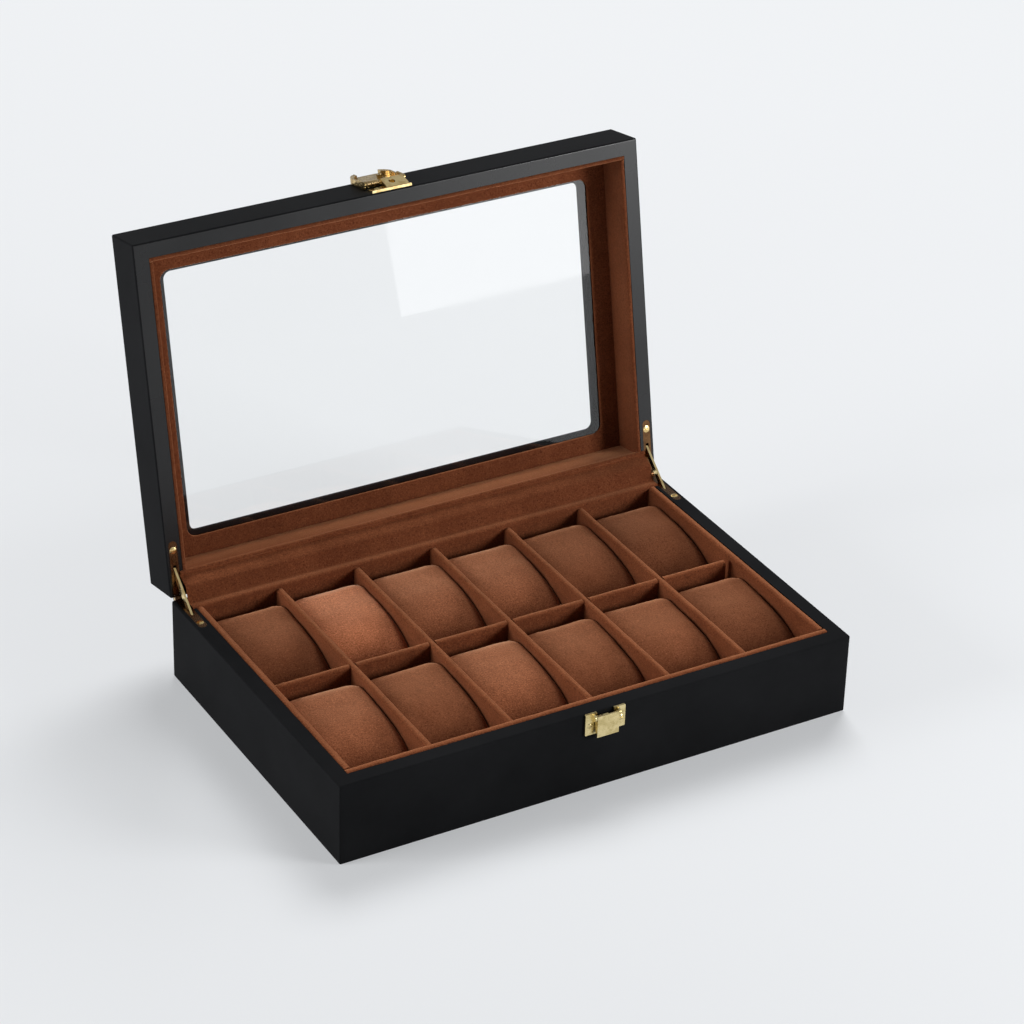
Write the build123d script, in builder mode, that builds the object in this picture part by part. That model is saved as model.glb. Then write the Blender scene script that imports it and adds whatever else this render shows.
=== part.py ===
from build123d import *

import os
from math import atan2, cos, hypot, radians, sin, tan

# Lidded display box: twelve velvet compartments with pillows under a glass-topped lid.
#
# Units are millimetres. +X runs along the long side, -Y is the front, +Z is up.
# The origin is the middle of the underside of the base. The lid is stored open, on its stays.
# Pieces of the lid are made in the closed position and then turned open about the hinge axis.

# ---------------------------------------------------------------- driving dimensions

# Box
box_width = 320.0  # X, outside
box_depth = 207.0  # Y, outside
base_height = 50.0
lid_height = 28.5
seam_gap = 0.8  # between the closed lid and the base rim
wall = 9.0
bottom_thickness = 5.0
edge_round = 1.0  # outer edges of the lacquered boards

# Velvet lining and dividers
liner_thickness = 4.5
lid_liner_thickness = 2.5  # front and sides of the lid; its rear liner is as thick as the base's
liner_round = 1.5
tray_floor_thickness = 3.0
divider_thickness = 4.0
divider_drop = 1.5  # divider tops below the rim
divider_round = 1.6
halving_clearance = 0.1  # each side of a halving joint
columns = 6

# Pillows
pillow_side_gap = 0.8  # to the dividers, each side
pillow_height = 36.2
pillow_front_round = 24.0
pillow_rear_round = 13.0
pillow_foot_round = 5.0
pillow_end_round = 2.5
pillow_rear_gap = 2.0  # to the divider or liner behind
pillow_front_gap = 6.0  # to the divider or liner in front
pillow_lift_gap = 0.3  # above the tray floor

# Lid
lid_open_angle = 100.7
top_thickness = 6.0
window_border = 26.6  # lid edge to glass opening
window_round = 4.5
window_edge_round = 0.8
glass_thickness = 3.0
glass_overlap = 8.0  # glass under the panel, each side
glass_clearance = 0.3
inner_frame_thickness = 1.5
inner_frame_side_setback = 3.5  # inner frame edge behind the window edge, in X
inner_frame_end_setback = 2.2  # the same, in Y
inner_frame_round = 6.0

# Cloth gusset over the rear joint
gusset_thickness = 1.2
gusset_base_reach = 9.3  # from the hinge axis along the base rim
gusset_lid_reach = 13.7  # from the hinge axis along the lid rim
gusset_gap = 0.1
gusset_end_gap = 0.5

# Corner hinges
hinge_setback = 0.4  # axis behind the rear face
leaf_length = 34.0
leaf_width = 5.0
leaf_thickness = 1.2
leaf_end_round = 2.4
leaf_clearance = 0.1
knuckle_radius = 1.8
knuckle_middle = 2.0  # length of the lid's middle knuckle
knuckle_gap = 0.15
knuckle_relief = 0.3
hinge_pin_radius = 0.8
running_clearance = 0.05
hinge_screw_reach = 28.5  # from the hinge axis

# Stay links, one at each hinge
stay_rim_reach = 14.2  # from the hinge axis to where the open link crosses each rim
stay_pivot_height = 2.4  # pivot above the hinge axis, lid closed
stay_width = 3.6
stay_thickness = 1.3
stay_pin_radius = 0.7
stay_pin_edge = 0.9  # metal around the pin hole
stay_head_radius = 0.9
stay_head_length = 3.8
stay_slot_width = 1.9
stay_ear_thickness = 0.8
stay_pocket_width = 4.4
stay_pocket_gap = 0.6

# Screws
screw_hole_clearance = 0.05
hinge_screw_shank = 1.1
hinge_screw_head = 2.1
hinge_screw_dome = 0.28
hinge_screw_length = 11.0
clasp_screw_shank = 0.9
clasp_screw_head = 1.8
clasp_screw_dome = 0.7
clasp_screw_length = 6.0
screw_slot_width = 0.5
screw_slot_depth = 0.35

# Clasp, base half
strike_width = 25.0
strike_height = 13.4
strike_thickness = 1.2
strike_top_drop = 0.1  # below the rim
strike_screw_x = 9.6
strike_screw_drop = 7.5  # below the rim
flap_width = 13.5
flap_top_drop = 1.1
flap_bottom_drop = 14.3
flap_standoff = 4.5  # outer face in front of the wall
flap_thickness = 0.8
flap_press_angle = 8.0
flap_press_gap = 0.15  # left when fully pressed
flap_pin_drop = 2.6
flap_pin_out = 2.5
flap_pin_radius = 0.6
flap_knuckle_radius = 1.2
flap_knuckle = (-2.7, 0.8)  # X range of the middle knuckle
flap_spring = (-5.5, -2.9)  # X range of the spring
ear_thickness = 1.2
ear_clearance = 0.2
ear_radius = 1.9
mouth_half_width = 5.5
mouth_height = 5.8
mouth_round = 1.0

# Clasp, lid half
hasp_width = 26.0
hasp_pin_rise = 10.5  # above the lid's seam edge
hasp_pin_out = 3.2
hasp_pin_radius = 0.8
hasp_barrel_radius = 1.5
hasp_plate_out = (5.0, 6.2)  # inner and outer face, closed
hasp_reach = 23.0  # from the pin to the finger edge
hasp_plate_start = 1.3  # from the pin to the near edge of the plate
hasp_rim_width = 1.2
hasp_rim_out = 2.8  # foot of the rim, closed
hasp_corner_round = 8.0
hasp_flap_gap = 0.75  # each side of the flap
hook_x = (1.5, 4.7)  # X range of the hook
hook_gap = 0.25  # between its arm and the top of the flap
hook_thickness = 0.7
hook_bite = 0.5  # how far the barb reaches below the top of the flap
hook_barb_gap = 0.2  # between the barb and the back of the flap
hook_barb_depth = 1.0
keeper_width = 25.0
keeper_thickness = 1.0
keeper_bottom_rise = 1.0  # above the lid's seam edge
keeper_height = 6.5
keeper_rail_height = 1.5
keeper_rail_out = 1.5
keeper_pad = (-2.5, 11.6)  # X range of the raised part
keeper_pad_out = 2.3
keeper_screws = ((3.0, 6.8), (-7.5, 5.0))  # X, and height above the seam edge
hasp_spring = (-11.5, -3.0)  # X range
hasp_spring_wire = 0.7
flap_spring_wire = 0.45
spring_pitch_share = 0.96  # of the wire, so that the turns touch
spring_clearance = 0.1

# ---------------------------------------------------------------- derived places

half_width = box_width / 2
half_depth = box_depth / 2
inner_x = half_width - wall
inner_y = half_depth - wall
cell_x = inner_x - liner_thickness
cell_y = inner_y - liner_thickness
tray_z = bottom_thickness + tray_floor_thickness
divider_top = base_height - divider_drop
cell_width = (2 * cell_x - (columns - 1) * divider_thickness) / columns
cell_depth = (2 * cell_y - divider_thickness) / 2
cell_pitch = cell_width + divider_thickness
pillow_length = cell_depth - pillow_rear_gap - pillow_front_gap

lid_bottom = base_height + seam_gap
lid_top = lid_bottom + lid_height
panel_bottom = lid_top - top_thickness
inner_frame_bottom = panel_bottom - inner_frame_thickness

hinge_y = half_depth + hinge_setback
hinge_z = base_height + seam_gap / 2
hinge_x = half_width - wall / 2
hinge_axis = Axis((0, hinge_y, hinge_z), (-1, 0, 0))

# The open link lies square to the line that halves the lid angle, so it meets both rims alike.
stay_tilt = lid_open_angle / 2
stay_reach = stay_rim_reach + (stay_pivot_height - seam_gap / 2) * tan(radians(stay_tilt))
stay_arm = hypot(stay_reach, stay_pivot_height)
stay_half_apex = radians(stay_tilt) + atan2(stay_pivot_height, stay_reach)
stay_head_drop = leaf_thickness + seam_gap / 2 + stay_head_radius + leaf_clearance
stay_overrun = (stay_head_drop - stay_pivot_height) / cos(radians(stay_tilt))
stay_length = 2 * stay_arm * sin(stay_half_apex) + max(stay_overrun, stay_pin_edge)
stay_y = hinge_y - stay_reach
stay_pivot_z = hinge_z + stay_pivot_height
stay_lean = stay_width / 2 / cos(radians(stay_tilt))
stay_slot_front = stay_y - stay_lean - leaf_clearance
stay_slot_rear = stay_y + stay_lean + stay_pivot_height * tan(radians(stay_tilt))
stay_sweep = stay_width / 2 + stay_head_radius + 0.18 * stay_length
stay_pocket_front = stay_y - stay_sweep
stay_pocket_bottom = stay_pivot_z - stay_length - stay_head_radius - stay_pocket_gap

front = -half_depth
flap_pin_z = base_height - flap_pin_drop
flap_top_z = base_height - flap_top_drop
flap_pin_y = front - flap_pin_out
hasp_pin_z = lid_bottom + hasp_pin_rise
hasp_pin_y = front - hasp_pin_out
hasp_axis = Axis((0, hasp_pin_y, hasp_pin_z), (1, 0, 0))

sides = {"left": -1, "right": 1}


# ---------------------------------------------------------------- shared helpers


def turned(shape, *turns):
    """The shape after each (axis, angle) turn in order."""
    for axis, angle in turns:
        shape = shape.rotate(axis, angle)
    return shape


opening = (hinge_axis, lid_open_angle)


def finish(name, piece, *turns):
    """Label a finished piece, put it in its stored position and write its STEP file."""
    part = turned(piece.part, *turns)
    part.label = name
    export_step(part, f"parts/{name}.step")


def block(low, high, mode=Mode.ADD):
    """An upright box between two corners, in the open part builder."""
    size = [b - a for a, b in zip(low, high)]
    middle = tuple((a + b) / 2 for a, b in zip(low, high))
    with Locations(middle):
        Box(*size, mode=mode)


def rod(radius, x_range, y, z, mode=Mode.ADD):
    """A cylinder along X, in the open part builder."""
    with Locations(Plane(((x_range[0] + x_range[1]) / 2, y, z), x_dir=(0, 1, 0), z_dir=(1, 0, 0))):
        Cylinder(radius, x_range[1] - x_range[0], mode=mode)


def profile_plane(x):
    """The plane at X whose local x is world Y and local y is world Z."""
    return Plane((x, 0, 0), x_dir=(0, 1, 0), z_dir=(1, 0, 0))


def out(distance):
    """Y of a point that far in front of the front face."""
    return front - distance


def screw(shank, head, dome, length, cone):
    """A domed screw along Z, its cone's rim at Z = 0 and its shank below."""
    with BuildPart() as made:
        with BuildSketch(Plane.XZ):
            with BuildLine():
                Polyline((0, dome), (0, -length), (shank, -length + shank), (shank, -cone), (head, 0))
                ThreePointArc((head, 0), (head * 0.55, dome * 0.72), (0, dome))
            make_face()
        revolve(axis=Axis.Z)
        block(
            (-head, -screw_slot_width / 2, dome - screw_slot_depth),
            (head, screw_slot_width / 2, dome + screw_slot_depth),
            mode=Mode.SUBTRACT,
        )
    return made.part


def coil(x_range, y, z, pin_radius, wire):
    """A close-wound torsion spring around a pin along X."""
    centre = pin_radius + spring_clearance + wire / 2
    pitch = wire * spring_pitch_share
    turns = int((x_range[1] - x_range[0] - wire) / pitch) + 1
    with BuildPart() as made:
        with BuildSketch(Plane.XZ):
            for turn in range(turns):
                with Locations((x_range[0] + wire / 2 + turn * pitch, centre)):
                    Circle(wire / 2)
        revolve(axis=Axis.X)
    return made.part.moved(Location((0, y, z)))


# ---------------------------------------------------------------- base carcass


def base_side_wall(side):
    """Side wall with the leaf recess, the knuckle relief and the mortise for the stay."""
    outer, inner = side * half_width, side * inner_x
    x_low, x_high = min(outer, inner), max(outer, inner)
    middle = side * hinge_x
    with BuildPart() as made:
        block((x_low, -half_depth, 0), (x_high, half_depth, base_height))
        outer_face = made.faces().sort_by(Axis.X)[-1 if side > 0 else 0]
        end_edges = made.edges().filter_by(Axis.X)
        fillet(outer_face.edges() + end_edges, edge_round)
        leaf_recess(middle, base_height, -1)
        rod(knuckle_radius + knuckle_relief, leaf_x_range(middle), hinge_y, hinge_z, Mode.SUBTRACT)
        block(
            (middle - stay_pocket_width / 2, stay_pocket_front, stay_pocket_bottom),
            (middle + stay_pocket_width / 2, stay_slot_rear, base_height),
            mode=Mode.SUBTRACT,
        )
        hinge_screw_hole(middle, base_height, -1)
    return made


def leaf_x_range(middle):
    """X range of the recess around a leaf."""
    half = leaf_width / 2 + leaf_clearance
    return middle - half, middle + half


def leaf_recess(middle, rim_z, direction):
    """Cut the recess for a leaf into a rim, downwards (-1) or upwards (+1)."""
    outline = leaf_outline(middle, rim_z, leaf_clearance)
    extrude(outline, amount=direction * leaf_thickness, mode=Mode.SUBTRACT)


def leaf_outline(middle, rim_z, margin):
    """Leaf outline, rounded at its front end, that runs back to the hinge axis."""
    length = leaf_length + margin
    with BuildSketch(Plane.XY.offset(rim_z)) as outline:
        with Locations((middle, hinge_y - length / 2)):
            Rectangle(leaf_width + 2 * margin, length)
        fillet(outline.vertices().group_by(Axis.Y)[0], leaf_end_round)
    return outline.sketch


def hinge_screw_circle(middle, z, radius):
    """Circle around the place of a leaf's screw."""
    with BuildSketch(Plane.XY.offset(z)) as circle:
        with Locations((middle, hinge_y - hinge_screw_reach)):
            Circle(radius)
    return circle.sketch


def hinge_screw_hole(middle, rim_z, direction):
    """Pilot hole for the leaf's screw."""
    circle = hinge_screw_circle(middle, rim_z, hinge_screw_shank + screw_hole_clearance)
    depth = hinge_screw_length + screw_hole_clearance
    extrude(circle, amount=direction * depth, mode=Mode.SUBTRACT)


def base_cross_wall(side):
    """Front (-1) or rear (+1) wall, between the side walls."""
    outer, inner = side * half_depth, side * inner_y
    with BuildPart() as made:
        block((-inner_x, min(outer, inner), 0), (inner_x, max(outer, inner), base_height))
        outer_face = made.faces().sort_by(Axis.Y)[-1 if side > 0 else 0]
        fillet(outer_face.edges().filter_by(Axis.X), edge_round)
        if side < 0:
            for x in (-strike_screw_x, strike_screw_x):
                front_screw_hole(x, base_height - strike_screw_drop)
    return made


def front_screw_circle(x, z, radius, standoff=0):
    """Circle around the place of a clasp screw, that far in front of the front face."""
    with BuildSketch(Plane.XZ.offset(half_depth + standoff)) as circle:
        with Locations((x, z)):
            Circle(radius)
    return circle.sketch


def front_screw_hole(x, z):
    """Pilot hole for a clasp screw in a front wall."""
    circle = front_screw_circle(x, z, clasp_screw_shank + screw_hole_clearance)
    extrude(circle, amount=-(clasp_screw_length + screw_hole_clearance), mode=Mode.SUBTRACT)


def bottom_panel():
    """Bottom panel between the walls, flush with their feet."""
    with BuildPart() as made:
        block((-inner_x, -inner_y, 0), (inner_x, inner_y, bottom_thickness))
    return made


# ---------------------------------------------------------------- velvet lining of the base


def liner_board(x_range, y_range, z_range, round_low=False):
    """A lining board whose free long edges are rounded."""
    long_x, long_y = x_range[1] - x_range[0], y_range[1] - y_range[0]
    along = Axis.X if long_x > long_y else Axis.Y
    rounding = min(liner_round, 0.45 * min(long_x, long_y))
    with BuildPart() as made:
        block((x_range[0], y_range[0], z_range[0]), (x_range[1], y_range[1], z_range[1]))
        free_face = made.faces().sort_by(Axis.Z)[0 if round_low else -1]
        fillet(free_face.edges().filter_by(along), rounding)
    return made


def liners(z_range, thickness, round_low=False):
    """The four lining boards of one half of the box: name suffix and board."""
    side, front_y = inner_x - thickness, thickness - inner_y
    long_x, short_y = (-inner_x, inner_x), (front_y, cell_y)
    yield "front", liner_board(long_x, (-inner_y, front_y), z_range, round_low)
    yield "rear", liner_board(long_x, (cell_y, inner_y), z_range, round_low)
    yield "left", liner_board((-inner_x, -side), short_y, z_range, round_low)
    yield "right", liner_board((side, inner_x), short_y, z_range, round_low)


def tray_floor():
    """Velvet-covered floor between the lining boards."""
    with BuildPart() as made:
        block((-cell_x, -cell_y, bottom_thickness), (cell_x, cell_y, tray_z))
    return made


divider_centres = [(i - (columns - 2) / 2) * cell_pitch for i in range(columns - 1)]
halving_z = (tray_z + divider_top) / 2
halving_half = divider_thickness / 2 + halving_clearance


def long_divider():
    """Divider along X with a slot from above for each cross divider."""
    half = divider_thickness / 2
    with BuildPart() as made:
        block((-cell_x, -half, tray_z), (cell_x, half, divider_top))
        fillet(made.faces().sort_by(Axis.Z)[-1].edges().filter_by(Axis.X), divider_round)
        for x in divider_centres:
            block(
                (x - halving_half, -half, halving_z),
                (x + halving_half, half, divider_top),
                mode=Mode.SUBTRACT,
            )
    return made


def cross_divider(x):
    """Divider along Y with a slot from below for the long divider."""
    half = divider_thickness / 2
    with BuildPart() as made:
        block((x - half, -cell_y, tray_z), (x + half, cell_y, divider_top))
        fillet(made.faces().sort_by(Axis.Z)[-1].edges().filter_by(Axis.Y), divider_round)
        block(
            (x - half, -halving_half, tray_z),
            (x + half, halving_half, halving_z),
            mode=Mode.SUBTRACT,
        )
    return made


# ---------------------------------------------------------------- pillows


def pillow(x, cell_rear):
    """Loaf-shaped pillow: flat foot, a crown that falls off sooner at the front, straight sides."""
    y = cell_rear - pillow_rear_gap - pillow_length / 2
    z = tray_z + pillow_lift_gap + pillow_height / 2
    width = cell_width - 2 * pillow_side_gap
    with BuildPart() as made:
        with BuildSketch(profile_plane(x - width / 2)) as profile:
            with Locations((y, z)):
                Rectangle(pillow_length, pillow_height)
            fillet(profile.vertices().group_by(Axis.Y)[0], pillow_foot_round)
            crown = profile.vertices().group_by(Axis.Y)[-1].sort_by(Axis.X)
            fillet(crown[-1], pillow_rear_round)
            fillet(profile.vertices().group_by(Axis.Y)[-1].sort_by(Axis.X)[0], pillow_front_round)
        extrude(amount=width)
        ends = made.faces().filter_by(Axis.X)
        fillet(ends.edges(), pillow_end_round)
    return made


# ---------------------------------------------------------------- lid carcass, made closed


def lid_side_wall(side):
    """Side wall of the lid with the leaf recess, knuckle relief and stay pocket."""
    outer, inner = side * half_width, side * inner_x
    x_low, x_high = min(outer, inner), max(outer, inner)
    middle = side * hinge_x
    with BuildPart() as made:
        block((x_low, -half_depth, lid_bottom), (x_high, half_depth, panel_bottom))
        outer_face = made.faces().sort_by(Axis.X)[-1 if side > 0 else 0]
        seam_edges = made.faces().sort_by(Axis.Z)[0].edges().filter_by(Axis.X)
        upright = outer_face.edges().filter_by(Axis.Z)
        seam_side = outer_face.edges().filter_by(Axis.Y).sort_by(Axis.Z)[0]
        fillet(upright + seam_edges + [seam_side], edge_round)
        leaf_recess(middle, lid_bottom, 1)
        rod(knuckle_radius + knuckle_relief, leaf_x_range(middle), hinge_y, hinge_z, Mode.SUBTRACT)
        block(
            (middle - stay_pocket_width / 2, stay_slot_front - stay_pocket_gap, lid_bottom),
            (middle + stay_pocket_width / 2, stay_slot_rear, lid_stay_pocket_top),
            mode=Mode.SUBTRACT,
        )
        hinge_screw_hole(middle, lid_bottom, 1)
    return made


lid_stay_pocket_top = stay_pivot_z + max(stay_width / 2, stay_pin_radius + stay_pin_edge) + stay_pocket_gap


def lid_cross_wall(side):
    """Front (-1) or rear (+1) wall of the lid, between its side walls."""
    outer, inner = side * half_depth, side * inner_y
    with BuildPart() as made:
        block((-inner_x, min(outer, inner), lid_bottom), (inner_x, max(outer, inner), panel_bottom))
        outer_face = made.faces().sort_by(Axis.Y)[-1 if side > 0 else 0]
        fillet(outer_face.edges().filter_by(Axis.X).sort_by(Axis.Z)[0], edge_round)
        if side < 0:
            for x, rise in keeper_screws:
                front_screw_hole(x, lid_bottom + rise)
    return made


window_x = box_width - 2 * window_border
window_y = box_depth - 2 * window_border


def top_frame():
    """Top panel with the rounded window and the rebate for the glass."""
    rebate_x = window_x + 2 * (glass_overlap + glass_clearance)
    rebate_y = window_y + 2 * (glass_overlap + glass_clearance)
    with BuildPart() as made:
        block((-half_width, -half_depth, panel_bottom), (half_width, half_depth, lid_top))
        upright = made.edges().filter_by(Axis.Z)
        top_edges = made.faces().sort_by(Axis.Z)[-1].edges()
        fillet(upright + top_edges, edge_round)
        with BuildSketch(Plane.XY.offset(panel_bottom)):
            RectangleRounded(window_x, window_y, window_round)
        extrude(amount=top_thickness, mode=Mode.SUBTRACT)
        window_rim = made.faces().sort_by(Axis.Z)[-1].inner_wires()[0].edges()
        fillet(window_rim, window_edge_round)
        with BuildSketch(Plane.XY.offset(panel_bottom)):
            Rectangle(rebate_x, rebate_y)
        extrude(amount=glass_thickness, mode=Mode.SUBTRACT)
    return made


def glass_pane():
    """Glass in the rebate of the top panel."""
    with BuildPart() as made:
        with BuildSketch(Plane.XY.offset(panel_bottom)):
            Rectangle(window_x + 2 * glass_overlap, window_y + 2 * glass_overlap)
        extrude(amount=glass_thickness)
    return made


def inner_frame():
    """Velvet-covered frame under the top panel that keeps the glass in its rebate."""
    open_x = window_x + 2 * inner_frame_side_setback
    open_y = window_y + 2 * inner_frame_end_setback
    with BuildPart() as made:
        block((-inner_x, -inner_y, inner_frame_bottom), (inner_x, inner_y, panel_bottom))
        with BuildSketch(Plane.XY.offset(inner_frame_bottom)):
            RectangleRounded(open_x, open_y, inner_frame_round)
        extrude(amount=inner_frame_thickness, mode=Mode.SUBTRACT)
        fillet(made.faces().sort_by(Axis.Z)[0].inner_wires()[0].edges(), inner_frame_thickness / 3)
    return made


# ---------------------------------------------------------------- cloth gusset, made open


def gusset():
    """Strip of cloth from the base rim to the lid rim, over the rear joint."""
    tilt = radians(lid_open_angle)
    rim_drop = seam_gap / 2 - gusset_gap

    def on_lid_rim(reach):
        y = -reach * cos(tilt) + rim_drop * sin(tilt)
        z = reach * sin(tilt) + rim_drop * cos(tilt)
        return hinge_y + y, hinge_z + z

    base_z = base_height + gusset_gap
    corners = [
        (hinge_y - gusset_base_reach, base_z),
        (hinge_y - gusset_base_reach + gusset_thickness, base_z),
        on_lid_rim(gusset_lid_reach - gusset_thickness),
        on_lid_rim(gusset_lid_reach),
    ]
    length = 2 * (inner_x - gusset_end_gap)
    with BuildPart() as made:
        with BuildSketch(profile_plane(-length / 2)):
            with BuildLine():
                Polyline(*corners, close=True)
            make_face()
        extrude(amount=length)
    return made


# ---------------------------------------------------------------- corner hinges


def knuckle_ranges(middle):
    """X ranges of the lower leaf's two knuckles and the upper leaf's single one."""
    half, inner = leaf_width / 2, knuckle_middle / 2
    lower = [(middle - half, middle - inner - knuckle_gap), (middle + inner + knuckle_gap, middle + half)]
    upper = [(middle - inner, middle + inner)]
    return lower, upper


def hinge_leaf(middle, own, others, rim_z, direction):
    """Leaf flush in a rim, its knuckles on the hinge axis, slotted for the stay."""
    face_z = rim_z + direction * leaf_thickness
    with BuildPart() as made:
        extrude(leaf_outline(middle, rim_z, 0), amount=direction * leaf_thickness)
        for x_low, x_high in others:
            gap = (x_low - knuckle_gap, x_high + knuckle_gap)
            rod(knuckle_radius + knuckle_gap, gap, hinge_y, hinge_z, Mode.SUBTRACT)
        for x_range in own:
            rod(knuckle_radius, x_range, hinge_y, hinge_z)
            rod(hinge_pin_radius + running_clearance, x_range, hinge_y, hinge_z, Mode.SUBTRACT)
        block(
            (middle - stay_slot_width / 2, stay_slot_front, min(rim_z, face_z)),
            (middle + stay_slot_width / 2, stay_slot_rear, max(rim_z, face_z)),
            mode=Mode.SUBTRACT,
        )
        countersink = [
            hinge_screw_circle(middle, rim_z, hinge_screw_head + screw_hole_clearance),
            hinge_screw_circle(middle, face_z, hinge_screw_shank + screw_hole_clearance),
        ]
        loft(countersink, mode=Mode.SUBTRACT)
        if direction > 0:
            stay_ears(middle, face_z)
    return made


def stay_ears(middle, face_z):
    """Two ears on the upper leaf that carry the stay's pin."""
    inner = stay_slot_width / 2
    radius = stay_pin_radius + stay_pin_edge
    for low in (middle + inner, middle - inner - stay_ear_thickness):
        block(
            (low, stay_y - radius, face_z - leaf_thickness / 2),
            (low + stay_ear_thickness, stay_y + radius, stay_pivot_z),
        )
        rod(radius, (low, low + stay_ear_thickness), stay_y, stay_pivot_z)
    span = (middle - inner - stay_ear_thickness, middle + inner + stay_ear_thickness)
    rod(stay_pin_radius, span, stay_y, stay_pivot_z, Mode.SUBTRACT)


def stay_link(middle):
    """Flat link, hanging straight down from its pin, with a cross head that stops the lid."""
    half = stay_thickness / 2
    foot_z = stay_pivot_z - stay_length
    x_range = (middle - half, middle + half)
    with BuildPart() as made:
        block(
            (x_range[0], stay_y - stay_width / 2, foot_z),
            (x_range[1], stay_y + stay_width / 2, stay_pivot_z),
        )
        rod(stay_width / 2, x_range, stay_y, stay_pivot_z)
        head = (middle - stay_head_length / 2, middle + stay_head_length / 2)
        rod(stay_head_radius, head, stay_y, foot_z)
        rod(stay_pin_radius + running_clearance, x_range, stay_y, stay_pivot_z, Mode.SUBTRACT)
    return made


def pin_group(middles, half_length, radius, y, z):
    """One pin along X at each place."""
    with BuildPart() as made:
        for middle in middles:
            rod(radius, (middle - half_length, middle + half_length), y, z)
    return made


def hinge_screws(rim_z, direction):
    """One domed screw in each leaf."""
    shape = screw(hinge_screw_shank, hinge_screw_head, hinge_screw_dome, hinge_screw_length, leaf_thickness)
    facing = Plane.XY if direction < 0 else Plane.XY.rotated((180, 0, 0))
    with BuildPart() as made:
        for side in sides.values():
            place = Plane((side * hinge_x, hinge_y - hinge_screw_reach, rim_z), facing.x_dir, facing.z_dir)
            add(place.location * shape)
    return made


# ---------------------------------------------------------------- clasp, base half


def strike_plate():
    """Plate on the base wall with a mouth at its top and two ears for the flap's pin."""
    half = strike_width / 2
    top = base_height - strike_top_drop
    ear_x = flap_width / 2 + ear_clearance
    with BuildPart() as made:
        block((-half, out(strike_thickness), top - strike_height), (half, front, top))
        fillet(made.edges().filter_by(Axis.Y), 0.6)
        with BuildSketch(Plane.XZ.offset(half_depth)) as mouth:
            with Locations((0, top - mouth_height / 2)):
                Rectangle(2 * mouth_half_width, mouth_height)
            fillet(mouth.vertices().group_by(Axis.Y)[0], mouth_round)
        extrude(amount=strike_thickness, mode=Mode.SUBTRACT)
        for side in sides.values():
            low = side * ear_x if side > 0 else -ear_x - ear_thickness
            x_range = (low, low + ear_thickness)
            block(
                (low, flap_pin_y, flap_pin_z - ear_radius),
                (low + ear_thickness, out(strike_thickness / 2), flap_pin_z + ear_radius),
            )
            rod(ear_radius, x_range, flap_pin_y, flap_pin_z)
            rod(flap_pin_radius, x_range, flap_pin_y, flap_pin_z, Mode.SUBTRACT)
        for x in (-strike_screw_x, strike_screw_x):
            z = base_height - strike_screw_drop
            circle = front_screw_circle(x, z, clasp_screw_shank + screw_hole_clearance)
            extrude(circle, amount=strike_thickness, mode=Mode.SUBTRACT)
    return made


def latch_flap():
    """Sprung flap: a plate with tapered cheeks, hung on its pin and pressed inwards to release."""
    half = flap_width / 2
    bottom = base_height - flap_bottom_drop
    inner = flap_standoff - flap_thickness
    neck_out = flap_pin_out - flap_knuckle_radius
    foot_out = neck_out + flap_press_gap + (flap_pin_z - bottom) * tan(radians(flap_press_angle))
    with BuildPart() as made:
        block((-half, out(flap_standoff), bottom), (half, out(inner), flap_top_z))
        for low in (-half, half - flap_thickness):
            with BuildSketch(profile_plane(low)):
                with BuildLine():
                    Polyline(
                        (out(inner), bottom),
                        (out(min(foot_out, inner)), bottom),
                        (out(neck_out), flap_pin_z),
                        (out(flap_pin_out), flap_pin_z + flap_knuckle_radius),
                        (out(inner), flap_pin_z + flap_knuckle_radius),
                        close=True,
                    )
                make_face()
            extrude(amount=flap_thickness)
            rod(flap_knuckle_radius, (low, low + flap_thickness), flap_pin_y, flap_pin_z)
        rod(flap_knuckle_radius, flap_knuckle, flap_pin_y, flap_pin_z)
        block(
            (flap_knuckle[0], out(inner), flap_pin_z - flap_knuckle_radius),
            (flap_knuckle[1], flap_pin_y, flap_pin_z + flap_pin_radius),
        )
        rod(flap_pin_radius + running_clearance, (-half, half), flap_pin_y, flap_pin_z, Mode.SUBTRACT)
    return made


def flap_pin():
    """Pin of the flap, through both ears."""
    half = flap_width / 2 + ear_clearance + ear_thickness
    with BuildPart() as made:
        rod(flap_pin_radius, (-half, half), flap_pin_y, flap_pin_z)
    return made


def front_screws(places, standoff):
    """Domed screws in the front face; each place is X, Z and how far out its head starts."""
    shape = screw(clasp_screw_shank, clasp_screw_head, clasp_screw_dome, clasp_screw_length + standoff, 0)
    with BuildPart() as made:
        for x, z, seat in places:
            place = Plane((x, out(seat), z), (1, 0, 0), (0, -1, 0))
            add(place.location * shape)
    return made


# ---------------------------------------------------------------- clasp, lid half, made closed


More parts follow.
